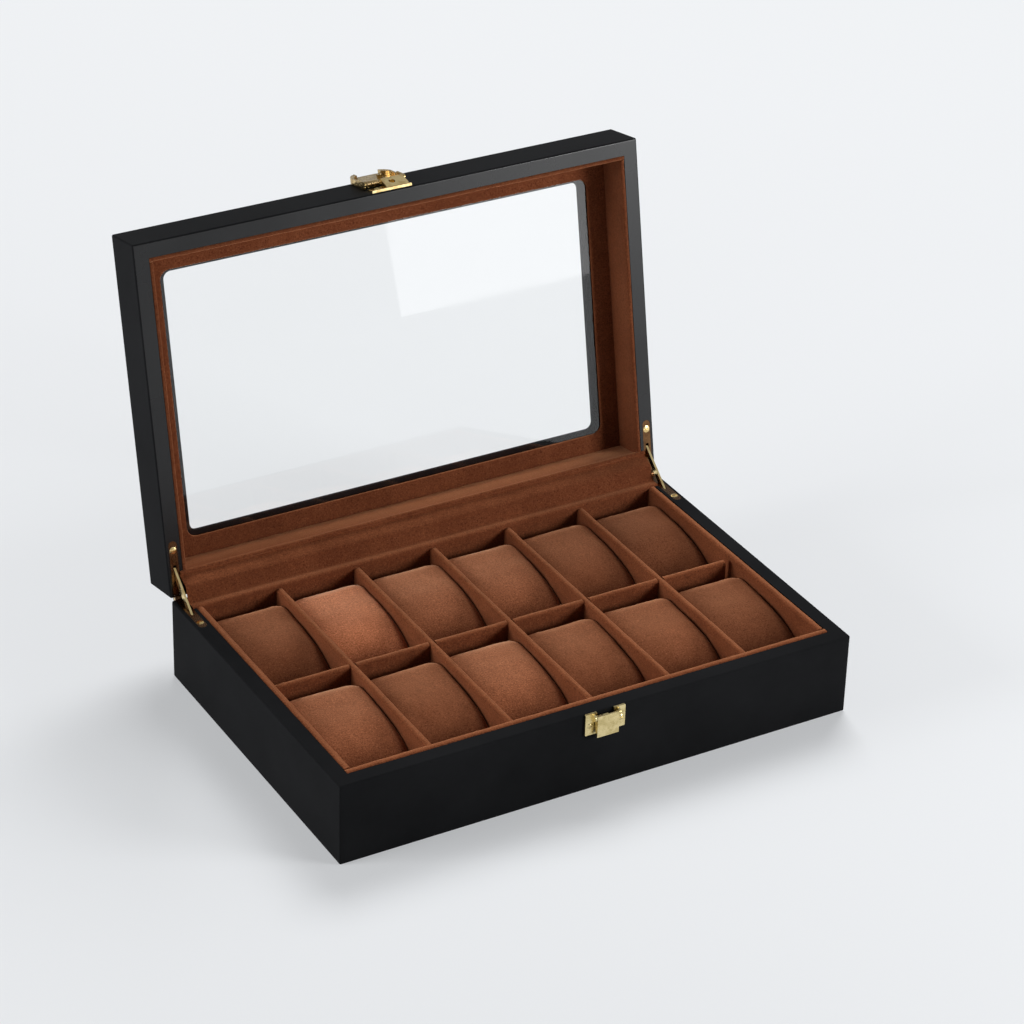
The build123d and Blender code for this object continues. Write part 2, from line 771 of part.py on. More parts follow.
def keeper_plate():
    """Plate on the lid wall with a rail, a raised pad and the barrel for the hasp's pin."""
    half = keeper_width / 2
    low_z = lid_bottom + keeper_bottom_rise
    pad_low, pad_high = keeper_pad
    with BuildPart() as made:
        block((-half, out(keeper_thickness), low_z), (half, front, low_z + keeper_height))
        block((-half, out(keeper_rail_out), low_z), (half, front, low_z + keeper_rail_height))
        with BuildSketch(profile_plane(pad_low)):
            with BuildLine():
                Polyline(
                    (front, low_z + keeper_rail_height),
                    (out(keeper_rail_out), low_z + keeper_rail_height),
                    (out(keeper_pad_out), low_z + 2 * keeper_rail_height),
                    (out(hasp_pin_out + hasp_barrel_radius * 0.7), hasp_pin_z - hasp_barrel_radius * 0.7),
                    (hasp_pin_y, hasp_pin_z),
                    (out(hasp_pin_out - hasp_barrel_radius), hasp_pin_z),
                    (front, hasp_pin_z - hasp_barrel_radius),
                    close=True,
                )
            make_face()
        extrude(amount=pad_high - pad_low)
        rod(hasp_barrel_radius, keeper_pad, hasp_pin_y, hasp_pin_z)
        rod(hasp_pin_radius, keeper_pad, hasp_pin_y, hasp_pin_z, Mode.SUBTRACT)
        for x, rise in keeper_screws:
            z = lid_bottom + rise
            shank = front_screw_circle(x, z, clasp_screw_shank + screw_hole_clearance)
            extrude(shank, amount=keeper_thickness, mode=Mode.SUBTRACT)
            head_radius = clasp_screw_head + screw_hole_clearance
            head = front_screw_circle(x, z, head_radius, keeper_thickness)
            extrude(head, amount=hasp_pin_out + hasp_barrel_radius, mode=Mode.SUBTRACT)
    return made


def hasp():
    """Folding hasp, made hanging closed: a shallow tray with a hook, notched for the flap."""
    half = hasp_width / 2
    inner, outer = hasp_plate_out
    top, bottom = hasp_pin_z - hasp_plate_start, hasp_pin_z - hasp_reach
    notch = flap_width / 2 + hasp_flap_gap
    roll = (outer - hasp_rim_out) / 2
    with BuildPart() as made:
        with BuildSketch(Plane.XZ.offset(half_depth + hasp_rim_out)) as outline:
            with Locations((0, (top + bottom) / 2)):
                Rectangle(hasp_width, top - bottom)
            fillet(outline.vertices().group_by(Axis.Y)[0], hasp_corner_round)
        extrude(amount=outer - hasp_rim_out)
        with BuildSketch(Plane.XZ.offset(half_depth + hasp_rim_out)) as hollow:
            with Locations((0, (top + bottom) / 2 + roll)):
                Rectangle(hasp_width - 2 * hasp_rim_width, top - bottom - 2 * roll)
            fillet(hollow.vertices().group_by(Axis.Y)[0], hasp_corner_round - hasp_rim_width)
        extrude(amount=inner - hasp_rim_out, mode=Mode.SUBTRACT)
        block(
            (-half, out(inner), top - 4 * hasp_plate_start),
            (half, out(hasp_rim_out), top),
            mode=Mode.SUBTRACT,
        )
        for side in sides.values():
            low, high = sorted((side * half, side * (half - hasp_rim_width)))
            block(
                (low, out(outer), hasp_pin_z - 6 * hasp_plate_start),
                (high, out(hasp_pin_out - hasp_barrel_radius), hasp_pin_z),
            )
            rod(hasp_barrel_radius, (low, high), hasp_pin_y, hasp_pin_z)
        hook_z = flap_top_z + hook_gap
        barb_out = flap_standoff - flap_thickness - hook_barb_gap
        block(
            (hook_x[0], out(inner), hook_z),
            (hook_x[1], out(barb_out - hook_barb_depth), hook_z + hook_thickness),
        )
        block(
            (hook_x[0], out(barb_out), flap_top_z - hook_bite),
            (hook_x[1], out(barb_out - hook_barb_depth), hook_z + hook_thickness),
        )
        rod(hasp_pin_radius + running_clearance, (-half, half), hasp_pin_y, hasp_pin_z, Mode.SUBTRACT)
        block(
            (-notch, out(inner), bottom),
            (notch, out(hasp_rim_out), bottom + hasp_corner_round),
            mode=Mode.SUBTRACT,
        )
    return made


def hasp_pin():
    """Pin of the hasp, through both of its ears."""
    with BuildPart() as made:
        rod(hasp_pin_radius, (-hasp_width / 2, hasp_width / 2), hasp_pin_y, hasp_pin_z)
    return made


def spring(x_range, y, z, pin_radius, wire):
    """Torsion spring around a clasp pin."""
    with BuildPart() as made:
        add(coil(x_range, y, z, pin_radius, wire))
    return made


# ---------------------------------------------------------------- write every piece

os.makedirs("parts", exist_ok=True)

for side_name, side in sides.items():
    finish(f"base_{side_name}_wall", base_side_wall(side))
    finish(f"lid_{side_name}_wall", lid_side_wall(side), opening)
for side_name, side in {"front": -1, "rear": 1}.items():
    finish(f"base_{side_name}_wall", base_cross_wall(side))
    finish(f"lid_{side_name}_wall", lid_cross_wall(side), opening)
finish("bottom_panel", bottom_panel())

for side_name, board in liners((bottom_thickness, base_height), liner_thickness):
    finish(f"base_{side_name}_liner", board)
for side_name, board in liners((lid_bottom, inner_frame_bottom), lid_liner_thickness, True):
    finish(f"lid_{side_name}_liner", board, opening)
finish("tray_floor", tray_floor())
finish("long_divider", long_divider())
for number, x in enumerate(divider_centres, 1):
    finish(f"cross_divider_{number}", cross_divider(x))

for row_name, cell_rear in {"front": -divider_thickness / 2, "rear": cell_y}.items():
    for column in range(columns):
        x = (column - (columns - 1) / 2) * cell_pitch
        finish(f"pillow_{row_name}_{column + 1}", pillow(x, cell_rear))

finish("lid_top_frame", top_frame(), opening)
finish("glass_pane", glass_pane(), opening)
finish("lid_inner_frame", inner_frame(), opening)
finish("hinge_gusset", gusset())

for side_name, side in sides.items():
    middle = side * hinge_x
    lower, upper = knuckle_ranges(middle)
    finish(f"{side_name}_base_leaf", hinge_leaf(middle, lower, upper, base_height, -1))
    finish(f"{side_name}_lid_leaf", hinge_leaf(middle, upper, lower, lid_bottom, 1), opening)
    stay_pin_axis = Axis((middle, stay_y, stay_pivot_z), (-1, 0, 0))
    finish(f"{side_name}_stay", stay_link(middle), (stay_pin_axis, -stay_tilt), opening)
hinge_middles = [side * hinge_x for side in sides.values()]
finish("hinge_pins", pin_group(hinge_middles, leaf_width / 2, hinge_pin_radius, hinge_y, hinge_z))
stay_pin_half = stay_slot_width / 2 + stay_ear_thickness
stay_pins = pin_group(hinge_middles, stay_pin_half, stay_pin_radius, stay_y, stay_pivot_z)
finish("stay_pins", stay_pins, opening)
finish("base_hinge_screws", hinge_screws(base_height, -1))
finish("lid_hinge_screws", hinge_screws(lid_bottom, 1), opening)

finish("strike_plate", strike_plate())
finish("latch_flap", latch_flap())
finish("flap_pin", flap_pin())
finish("flap_spring", spring(flap_spring, flap_pin_y, flap_pin_z, flap_pin_radius, flap_spring_wire))
strike_screw_places = [
    (x, base_height - strike_screw_drop, strike_thickness) for x in (-strike_screw_x, strike_screw_x)
]
finish("strike_screws", front_screws(strike_screw_places, strike_thickness))

hasp_folded = (hasp_axis, 180)
finish("keeper_plate", keeper_plate(), opening)
finish("hasp", hasp(), hasp_folded, opening)
finish("hasp_pin", hasp_pin(), opening)
made_spring = spring(hasp_spring, hasp_pin_y, hasp_pin_z, hasp_pin_radius, hasp_spring_wire)
finish("hasp_spring", made_spring, opening)
keeper_screw_places = [(x, lid_bottom + rise, keeper_thickness) for x, rise in keeper_screws]
finish("keeper_screws", front_screws(keeper_screw_places, keeper_thickness), opening)
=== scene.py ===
"""Looks of the twelve-compartment display box: materials, velvet work, light and camera."""

import math

import bmesh
import bpy
from mathutils import Matrix, Vector, noise

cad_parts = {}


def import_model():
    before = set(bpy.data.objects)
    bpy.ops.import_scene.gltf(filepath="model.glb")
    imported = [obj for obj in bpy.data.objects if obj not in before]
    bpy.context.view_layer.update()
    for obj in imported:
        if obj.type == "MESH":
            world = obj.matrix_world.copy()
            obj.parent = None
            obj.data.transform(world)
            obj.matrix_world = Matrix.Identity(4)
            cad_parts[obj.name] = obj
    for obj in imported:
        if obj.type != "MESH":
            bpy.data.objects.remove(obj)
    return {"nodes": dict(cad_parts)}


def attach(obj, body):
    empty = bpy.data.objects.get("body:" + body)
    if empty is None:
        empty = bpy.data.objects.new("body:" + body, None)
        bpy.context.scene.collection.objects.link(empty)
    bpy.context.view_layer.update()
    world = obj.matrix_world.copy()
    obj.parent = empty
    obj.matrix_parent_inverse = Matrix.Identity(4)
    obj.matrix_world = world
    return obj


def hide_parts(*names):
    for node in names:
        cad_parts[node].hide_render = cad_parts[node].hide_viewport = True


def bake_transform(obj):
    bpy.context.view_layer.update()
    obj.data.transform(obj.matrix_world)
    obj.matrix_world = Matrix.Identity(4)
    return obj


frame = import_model()
NODES = frame["nodes"]
MM = 0.001
# unseeded, the velvet's unevenness changes from run to run; with 8 the shut linings stay clear
noise.seed_set(8)


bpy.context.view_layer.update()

# ---------------------------------------------------------------- places, in millimetres
# the same values as part.py's, in the pose of the photograph

HALF_X, HALF_Y, RIM_Z = 160.0, 103.5, 50.0
WALL, LINER, LID_LINER = 9.0, 4.5, 2.5
SEAM, LID_H, PANEL, INNER_FRAME = 0.8, 28.5, 6.0, 1.5
LID_Z = RIM_Z + SEAM
PANEL_Z = LID_Z + LID_H - PANEL
HINGE = Vector((0.0, 103.9, 50.4))
OPEN_ANGLE = math.radians(100.7)
COLUMNS, PITCH, CELL_W = 6, 49.5, 45.5
DIVIDER, DIVIDER_TOP, TRAY_Z = 4.0, 48.5, 8.0
BOTTOM = 5.0
WINDOW_X, WINDOW_Y, WINDOW_R = 136.9, 79.1, 6.0
OPENED = (
    Matrix.Translation(HINGE)
    @ Matrix.Rotation(-OPEN_ANGLE, 4, "X")
    @ Matrix.Translation(-HINGE)
)


# ---------------------------------------------------------------- node trees


class Shade:
    """A small helper around one material's node tree."""

    def __init__(self, name):
        self.mat = bpy.data.materials.new(name)
        self.mat.use_nodes = True
        self.tree = self.mat.node_tree
        self.bsdf = self.tree.nodes["Principled BSDF"]
        self.out = self.tree.nodes["Material Output"]
        self.coord = self.tree.nodes.new("ShaderNodeTexCoord").outputs["Object"]

    def node(self, kind, **values):
        """A new node, with sockets and settings given by name."""
        made = self.tree.nodes.new(kind)
        for key, value in values.items():
            if key in made.inputs:
                made.inputs[key].default_value = value
            else:
                setattr(made, key, value)
        return made

    def link(self, a, b):
        self.tree.links.new(a, b)

    def set(self, **values):
        """Numbers on the shader's own sockets."""
        for key, value in values.items():
            self.bsdf.inputs[key.replace("_", " ")].default_value = value

    def noise(self, scale, detail=3.0, roughness=0.55, stretch=None):
        """Noise over the piece's own coordinates."""
        made = self.node("ShaderNodeTexNoise", Scale=scale, Detail=detail, Roughness=roughness)
        source = self.coord
        if stretch:
            mapping = self.node("ShaderNodeMapping")
            mapping.inputs["Scale"].default_value = stretch
            self.link(self.coord, mapping.inputs["Vector"])
            source = mapping.outputs["Vector"]
        self.link(source, made.inputs["Vector"])
        return made.outputs["Fac"]

    def ramp(self, fac, stops):
        """A colour from a number, by (position, colour) stops."""
        made = self.node("ShaderNodeValToRGB")
        elements = made.color_ramp.elements
        while len(elements) < len(stops):
            elements.new(0.5)
        for element, (position, colour) in zip(elements, stops):
            element.position = position
            element.color = (*colour, 1.0)
        self.link(fac, made.inputs["Fac"])
        return made.outputs["Color"]

    def span(self, fac, low, high, from_low=0.0, from_high=1.0):
        """A number mapped from one range to another."""
        made = self.node("ShaderNodeMapRange")
        ends = {"From Min": from_low, "From Max": from_high, "To Min": low, "To Max": high}
        for key, value in ends.items():
            made.inputs[key].default_value = value
        self.link(fac, made.inputs["Value"])
        return made.outputs["Result"]

    def mix(self, fac, a, b):
        """Blend two colours, each a tuple or a socket, by a number or a socket."""
        made = self.node("ShaderNodeMix", data_type="RGBA")
        for index, value in ((0, fac), (6, a), (7, b)):  # the node's factor and colour sockets
            socket = made.inputs[index]
            if isinstance(value, tuple):
                socket.default_value = (*value, 1.0)
            elif isinstance(value, float):
                socket.default_value = value
            else:
                self.link(value, socket)
        return made.outputs[2]  # its colour result

    def math(self, operation, a, b):
        """A sum on two sockets."""
        made = self.node("ShaderNodeMath", operation=operation)
        self.link(a, made.inputs[0])
        self.link(b, made.inputs[1])
        return made.outputs["Value"]

    def between(self, a, b, share):
        """A colour part of the way from one to the other."""
        return tuple(p + (q - p) * share for p, q in zip(a, b))

    def bump(self, height, strength, distance, chain=None):
        """A bumped normal, over another one if given."""
        made = self.node("ShaderNodeBump")
        made.inputs["Strength"].default_value = strength
        made.inputs["Distance"].default_value = distance
        self.link(height, made.inputs["Height"])
        if chain is not None:
            self.link(chain, made.inputs["Normal"])
        return made.outputs["Normal"]


def velvet(name, deep, mid, light, sheen):
    """Short-pile velvet: fine fibre grain, faint brushed nap and a soft sheen."""
    s = Shade(name)
    patches = s.noise(34.0, 3.0, 0.6)
    brushed = s.noise(130.0, 2.0, 0.55, stretch=(1.0, 0.35, 0.6))
    fibre = s.noise(1250.0, 2.0, 0.75)
    base = s.ramp(patches, [(0.34, s.between(deep, mid, 0.78)), (0.66, s.between(mid, light, 0.22))])
    base = s.mix(s.span(brushed, 0.0, 0.22, 0.45, 0.75), base, light)
    base = s.mix(s.span(fibre, 0.0, 1.0, 0.30, 0.52), deep, base)
    tips = tuple(min(1.0, 1.5 * c) for c in light)
    base = s.mix(s.span(fibre, 0.0, 0.55, 0.58, 0.74), base, tips)
    s.link(base, s.bsdf.inputs["Base Color"])
    s.set(Roughness=0.9, Sheen_Weight=1.0, Sheen_Roughness=0.42, Specular_IOR_Level=0.08)
    s.bsdf.inputs["Sheen Tint"].default_value = (*sheen, 1.0)
    coarse = s.bump(brushed, 0.18, 0.0005)
    s.link(s.bump(fibre, 0.6, 0.00025, coarse), s.bsdf.inputs["Normal"])
    return s.mat


def lacquer(name, colour, rough, specular):
    """Satin black lacquer: faint spray texture and slightly uneven gloss."""
    s = Shade(name)
    cloud = s.noise(14.0, 4.0, 0.6)
    spray = s.noise(900.0, 2.0, 0.5)
    low, high = (tuple(share * c for c in colour) for share in (0.8, 1.2))
    tint = s.ramp(cloud, [(0.3, low), (0.7, high)])
    s.link(tint, s.bsdf.inputs["Base Color"])
    s.link(s.span(cloud, rough - 0.04, rough + 0.06, 0.3, 0.7), s.bsdf.inputs["Roughness"])
    s.set(Specular_IOR_Level=specular)
    s.link(s.bump(spray, 0.10, 0.00008), s.bsdf.inputs["Normal"])
    return s.mat


def metal(name, colour, shade, rough, stretch, streak=0.35, dents=0.0):
    """Plated metal: brushing along one direction, tarnish patches and, if asked, a hammered skin."""
    s = Shade(name)
    brush = s.noise(240.0, 3.0, 0.65, stretch=stretch)
    patch = s.noise(210.0, 3.0, 0.6)
    base = s.ramp(patch, [(0.36, shade), (0.58, colour)])
    bright = tuple(min(1.0, 1.12 * c) for c in colour)
    base = s.mix(s.span(brush, 0.0, streak, 0.35, 0.7), base, bright)
    s.link(base, s.bsdf.inputs["Base Color"])
    s.link(s.span(brush, rough - 0.06, rough + 0.10, 0.3, 0.7), s.bsdf.inputs["Roughness"])
    s.set(Metallic=1.0)
    skin = s.bump(brush, 0.12, 0.00006)
    if dents:
        skin = s.bump(s.noise(620.0, 2.0, 0.5), dents, 0.0004, skin)
    s.link(skin, s.bsdf.inputs["Normal"])
    return s.mat


def clear_glass(name):
    """Thin clear pane: what is behind shows, and the room reflects in the face that is met first."""
    s = Shade(name)
    through = s.node("ShaderNodeBsdfTransparent")
    through.inputs["Color"].default_value = (0.995, 0.998, 0.997, 1.0)
    gloss = s.node("ShaderNodeBsdfGlossy")
    film = s.noise(9.0, 3.0, 0.6)
    s.link(s.span(film, 0.01, 0.05, 0.4, 0.7), gloss.inputs["Roughness"])
    fresnel = s.node("ShaderNodeFresnel", IOR=1.7).outputs["Fac"]
    outside = s.span(s.node("ShaderNodeNewGeometry").outputs["Backfacing"], 1.0, 0.0)
    mix = s.node("ShaderNodeMixShader")
    s.link(s.math("MULTIPLY", fresnel, outside), mix.inputs["Fac"])
    s.link(through.outputs["BSDF"], mix.inputs[1])
    s.link(gloss.outputs["BSDF"], mix.inputs[2])
    s.link(mix.outputs["Shader"], s.out.inputs["Surface"])
    s.tree.nodes.remove(s.bsdf)
    return s.mat


LACQUER = lacquer("satin_black_lacquer", (0.0125, 0.0128, 0.0137), 0.32, 0.003)
RIM_LACQUER = lacquer("polished_rim_lacquer", (0.0095, 0.0097, 0.0106), 0.26, 0.375)
VELVET = velvet(
    "lining_velvet", (0.076, 0.020, 0.0078), (0.176, 0.049, 0.0185), (0.268, 0.088, 0.037),
    (0.86, 0.40, 0.20),
)
PILLOW_TONES = ((0.080, 0.0225, 0.0090), (0.178, 0.0545, 0.0225), (0.270, 0.097, 0.046))
# painted light: copies of one pillow velvet, lighter and darker in colour and sheen tint, for how
# brightly the light falls on each pillow
PAINTED_LIGHT_PILLOW_VELVETS = [
    velvet(
        f"pillow_velvet_{name}",
        *(tuple(share * c for c in colour) for colour in PILLOW_TONES),
        sheen,
    )
    for name, share, sheen in (
        ("dim", 0.82, (0.72, 0.35, 0.19)),
        ("even", 1.07, (0.84, 0.42, 0.23)),
        ("fair", 1.50, (1.0, 0.56, 0.33)),
        ("bright", 2.55, (1.0, 0.66, 0.44)),
    )
]
HAMMERED = metal(
    "hammered_gold_plate", (0.62, 0.45, 0.20), (0.36, 0.24, 0.09), 0.20, (3.0, 3.0, 3.0), 0.25, 0.8,
)
GOLD = metal("pale_gold_plate", (0.76, 0.63, 0.33), (0.54, 0.43, 0.19), 0.27, (1.0, 9.0, 9.0))
BRIGHT = metal("polished_gold_plate", (0.92, 0.72, 0.36), (0.70, 0.48, 0.19), 0.16, (6.0, 6.0, 1.0))
LEAF = metal("aged_bronze_plate", (0.145, 0.075, 0.034), (0.105, 0.052, 0.023), 0.24, (6.0, 6.0, 1.0))
WIRE = metal("spring_wire", (0.62, 0.46, 0.24), (0.36, 0.24, 0.11), 0.28, (1.0, 1.0, 1.0))
GLASS = clear_glass("window_glass")


def dress(obj, material):
    """Give an object one material."""
    obj.data.materials.clear()
    obj.data.materials.append(material)
    return obj


def polish_rim(obj, rim):
    """Give the faces of a wall that look along a direction the rubbed-out lacquer of the lid's rim."""
    obj.data.materials.append(RIM_LACQUER)
    for polygon in obj.data.polygons:
        if (obj.matrix_world.to_3x3() @ polygon.normal).dot(rim) > 0.95:
            polygon.material_index = 1


def smooth_by_angle(obj, degrees):
    """Smooth shading with sharp edges kept above an angle."""
    for polygon in obj.data.polygons:
        polygon.use_smooth = True
    obj.data.set_sharp_from_angle(angle=math.radians(degrees))
    return obj


# ---------------------------------------------------------------- meshes


def mesh_object(name, points, faces, material, body, slot, *nodes, angle=40.0):
    """A finished piece from points in millimetres, put in place on its body."""
    mesh = bpy.data.meshes.new(name)
    mesh.from_pydata([tuple(c * MM for c in p) for p in points], [], faces)
    made = bmesh.new()
    made.from_mesh(mesh)
    bmesh.ops.remove_doubles(made, verts=made.verts, dist=2e-6)
    bmesh.ops.dissolve_degenerate(made, edges=made.edges, dist=1e-6)
    bmesh.ops.recalc_face_normals(made, faces=made.faces)
    made.to_mesh(mesh)
    made.free()
    obj = bpy.data.objects.new(name, mesh)
    bpy.context.scene.collection.objects.link(obj)
    dress(obj, material)
    smooth_by_angle(obj, angle)
    if body:
        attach(obj, body)
    if nodes:
        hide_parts(*nodes)
    return obj


def rings(sections):
    """Points and quads of closed rings joined in order, with a fan at each end."""
    count = len(sections[0])
    points = [p for section in sections for p in section]
    faces = []
    for i in range(len(sections) - 1):
        for j in range(count):
            k = (j + 1) % count
            faces.append((i * count + j, i * count + k, (i + 1) * count + k, (i + 1) * count + j))
    for i, flip in ((0, True), (len(sections) - 1, False)):
        ring = [i * count + j for j in range(count)]
        faces.append(tuple(reversed(ring)) if flip else tuple(ring))
    return points, faces


def rounded_section(width, low, high, radius_low, radius_high, steps=6, side_steps=5):
    """Outline of a board across its length: (across, up) pairs with rounded corners."""
    half = width / 2
    outline = []
    arcs = (
        (half, low, radius_low, -90),
        (half, high, radius_high, 0),
        (-half, high, radius_high, 90),
        (-half, low, radius_low, 180),
    )
    for x, z, radius, start in arcs:
        cx = x - math.copysign(radius, x)
        cz = z + (radius if z == low else -radius)
        for i in range(steps + 1):
            a = math.radians(start + 90 * i / steps)
            outline.append((cx + radius * math.cos(a), cz + radius * math.sin(a)))
    dense = []
    for (a, b), (c, d) in zip(outline, outline[1:] + outline[:1]):
        dense.append((a, b))
        if math.hypot(c - a, d - b) > 3.0:
            for i in range(1, side_steps):
                t = i / side_steps
                dense.append((a + (c - a) * t, b + (d - b) * t))
    return dense


def wrinkle(point, seed, scale, amount):
    """A small smooth offset for a point, in millimetres."""
    p = Vector(point) * scale + Vector((seed * 7.31, seed * 3.17, seed * 5.93))
    return noise.noise_vector(p) * amount


def velvet_board(
    name, node, along, length, width, low, high, centre, body, round_low, round_high,
    notches=(), opened=False,
):
    """A board wrapped in velvet: soft long edges, slightly uneven faces, optional slots."""
    seed = (sum(ord(c) * (i + 1) for i, c in enumerate(name)) % 97) / 10.0
    stations = []
    steps = max(8, round((length[1] - length[0]) / 4.0))
    for i in range(steps + 1):
        stations.append((length[0] + (length[1] - length[0]) * i / steps, low, high))
    for start, end, new_low, new_high in notches:
        stations = [s for s in stations if not start - 0.4 < s[0] < end + 0.4]
        stations += [(start, low, high), (start, new_low, new_high)]
        stations += [(end, new_low, new_high), (end, low, high)]
    order = {id(s): i for i, s in enumerate(stations)}
    stations.sort(key=lambda s: (round(s[0], 4), order[id(s)]))
    sections = []
    for place, z_low, z_high in stations:
        r_low = min(round_low, SHARP) if z_low != low else round_low
        r_high = min(round_high, SHARP) if z_high != high else round_high
        ring = []
        for across, up in rounded_section(width, z_low, z_high, r_low, r_high):
            p = (place, centre + across, up) if along == "x" else (centre + across, place, up)
            shift = wrinkle(p, seed, 0.09, 0.16) + wrinkle(p, seed + 3.0, 0.35, 0.05)
            shift[0 if along == "x" else 1] = 0.0
            ring.append(tuple(Vector(p) + shift))
        sections.append(ring)
    points, faces = rings(sections)
    if opened:
        points = [tuple(OPENED @ Vector(p)) for p in points]
    return mesh_object(name, points, faces, VELVET, body, "lining_velvet", node, angle=35.0)


inner_x, inner_y = HALF_X - WALL, HALF_Y - WALL
cell_x, cell_y = inner_x - LINER, inner_y - LINER
GAP = 0.15  # between two velvet boards
SHARP, ROUND = 0.3, 1.6  # radii of a board's hidden and visible edges
VELVET_PROUD = 0.35  # the lining's top stands above the lacquered rim


def lining(prefix, thickness, low, high, round_low, round_high, opened):
    """The four velvet boards inside one half of the box; the rear one is always LINER thick."""
    front_y = thickness - inner_y
    side_x = inner_x - thickness / 2
    for side, middle, width in (
        ("front", front_y - thickness / 2, thickness),
        ("rear", cell_y + LINER / 2, LINER),
    ):
        velvet_board(
            f"{prefix}_{side}_velvet", f"{prefix}_{side}_liner", "x", (-inner_x + GAP, inner_x - GAP),
            width - GAP, low, high, middle, prefix, round_low, round_high, opened=opened,
        )
    for side, sign in (("left", -1), ("right", 1)):
        velvet_board(
            f"{prefix}_{side}_velvet", f"{prefix}_{side}_liner", "y", (front_y, cell_y),
            thickness - GAP, low, high, sign * side_x, prefix, round_low, round_high, opened=opened,
        )


lining("base", LINER, BOTTOM, RIM_Z + VELVET_PROUD, SHARP, 1.7, False)
lining("lid", LID_LINER, LID_Z - 0.3, PANEL_Z - INNER_FRAME, 1.1, SHARP, True)

centres = [(i - (COLUMNS - 2) / 2) * PITCH for i in range(COLUMNS - 1)]
half_slot = DIVIDER / 2 + 0.1  # a slot takes the crossing board with a little play
halving = (TRAY_Z + DIVIDER_TOP) / 2
velvet_board(
    "long_divider_velvet", "long_divider", "x", (-cell_x, cell_x), DIVIDER, TRAY_Z,
    DIVIDER_TOP, 0.0, "base", SHARP, ROUND,
    notches=[(x - half_slot, x + half_slot, TRAY_Z, halving) for x in centres],
)
for number, x in enumerate(centres, 1):
    velvet_board(
        f"cross_divider_velvet_{number}", f"cross_divider_{number}", "y", (-cell_y, cell_y),
        DIVIDER, TRAY_Z, DIVIDER_TOP, x, "base", SHARP, ROUND,
        notches=[(-half_slot, half_slot, halving, DIVIDER_TOP)],
    )


# ---------------------------------------------------------------- pillows

PILLOW_L, PILLOW_H = 80.0, 36.2
PILLOW_GAP, PILLOW_BACK = 0.3, 2.0  # clear of the dividers beside and under, and of the board behind
ROUNDING_FROM, ROUNDING, BULGE = 0.70, 3.4, 0.4  # where a pillow's ends start to round, and by how much
# which of the pillow velvet copies each pillow wears: a lighter or darker copy of one velvet, painted
# light standing in for how the light catches each pillow's nap
PAINTED_PILLOW_LIGHT = {"front": (2, 1, 2, 1, 1, 0), "rear": (1, 3, 2, 2, 1, 0)}


def loaf():
    """Side outline of a pillow, (y, z) from its front foot: full at the rear, falling to the front."""
    crown, height, foot, shoulder = 0.68 * PILLOW_L, PILLOW_H, 3.0, 12.0
    outline = []
    for i in range(25):
        a = math.radians(90 * i / 24)
        u, v = math.cos(a) ** 0.89, math.sin(a) ** 0.89
        outline.append(Vector((crown * (1.0 - u), foot + (height - foot) * v)))
    for i in range(13):
        a = math.radians(90 - 90 * i / 12)
        outline.append(Vector((
            PILLOW_L - shoulder * (1.0 - math.cos(a)),
            height - shoulder + shoulder * math.sin(a),
        )))
    outline += [Vector((PILLOW_L, foot)), Vector((PILLOW_L - 1.5, 0.6)), Vector((PILLOW_L - 4.0, 0.0))]
    outline += [Vector((4.0, 0.0)), Vector((1.5, 0.6))]
    dense = []
    for a, b in zip(outline, outline[1:] + outline[:1]):
        parts = max(1, round((b - a).length / 2.5))
        dense += [a.lerp(b, i / parts) for i in range(parts)]
    return dense


def pillow(row, column, cell_rear):
    """A stuffed velvet pillow: crowned, with soft ends and a slightly uneven skin."""
    name = f"pillow_{row}_{column + 1}"
    seed = 11.0 + column * 1.7 + (5.3 if row == "rear" else 0.0)
    x_mid = (column - (COLUMNS - 1) / 2) * PITCH
    half = CELL_W / 2 - PILLOW_GAP
    y0 = cell_rear - PILLOW_BACK - PILLOW_L
    z0 = TRAY_Z + PILLOW_GAP
    outline = loaf()
    middle = Vector((PILLOW_L / 2, PILLOW_H / 2))
    sections = []
    stations = [0.0, 0.3, 0.55, 0.72, 0.83, 0.9, 0.95, 0.985, 1.0]
    for t in [-t for t in stations[:0:-1]] + stations:
        edge = max(0.0, (abs(t) - ROUNDING_FROM) / (1.0 - ROUNDING_FROM))
        inset = ROUNDING * (1.0 - math.sqrt(max(0.0, 1.0 - edge * edge))) + BULGE * abs(t) ** 3
        ring = []
        for point in outline:
            inward = middle - point
            step = inward.normalized() * inset
            if point.y < 1.0:  # the underside stays flat
                step.y = 0.0 if inset < 1.2 else step.y * 0.4
            y, z = point + step
            p = Vector((x_mid + half * t, y0 + y, z0 + z))
            lift = wrinkle(p, seed, 0.035, 0.75) + wrinkle(p, seed + 9.0, 0.14, 0.22)
            lift.x *= 0.3
            if point.y < 6.0:  # and so does the foot, nearly
                lift *= 0.15
            p += lift
            p.z = max(p.z, z0)
            p.x = min(max(p.x, x_mid - half), x_mid + half)
            ring.append(p)
        sections.append(ring)
    count = len(outline)
    caps = []
    for sign, ring in ((-1, sections[0]), (1, sections[-1])):
        centre = sum(ring, Vector()) / count
        inner = []
        for share in (0.93, 0.8, 0.6, 0.35):
            inner.append([centre.lerp(p, share) for p in ring])
        caps.append(inner)
    ordered = list(reversed(caps[0])) + sections + caps[1]
    points, faces = rings([[tuple(p) for p in ring] for ring in ordered])
    cloth = PAINTED_LIGHT_PILLOW_VELVETS[PAINTED_PILLOW_LIGHT[row][column]]
    obj = mesh_object(name + "_velvet", points, faces, cloth, name, "pillow_velvet", name, angle=180.0)
    return obj


for row, rear in (("front", -DIVIDER / 2), ("rear", cell_y)):
    for column in range(COLUMNS):
        pillow(row, column, rear)


# ---------------------------------------------------------------- tray floor, window frame, gusset


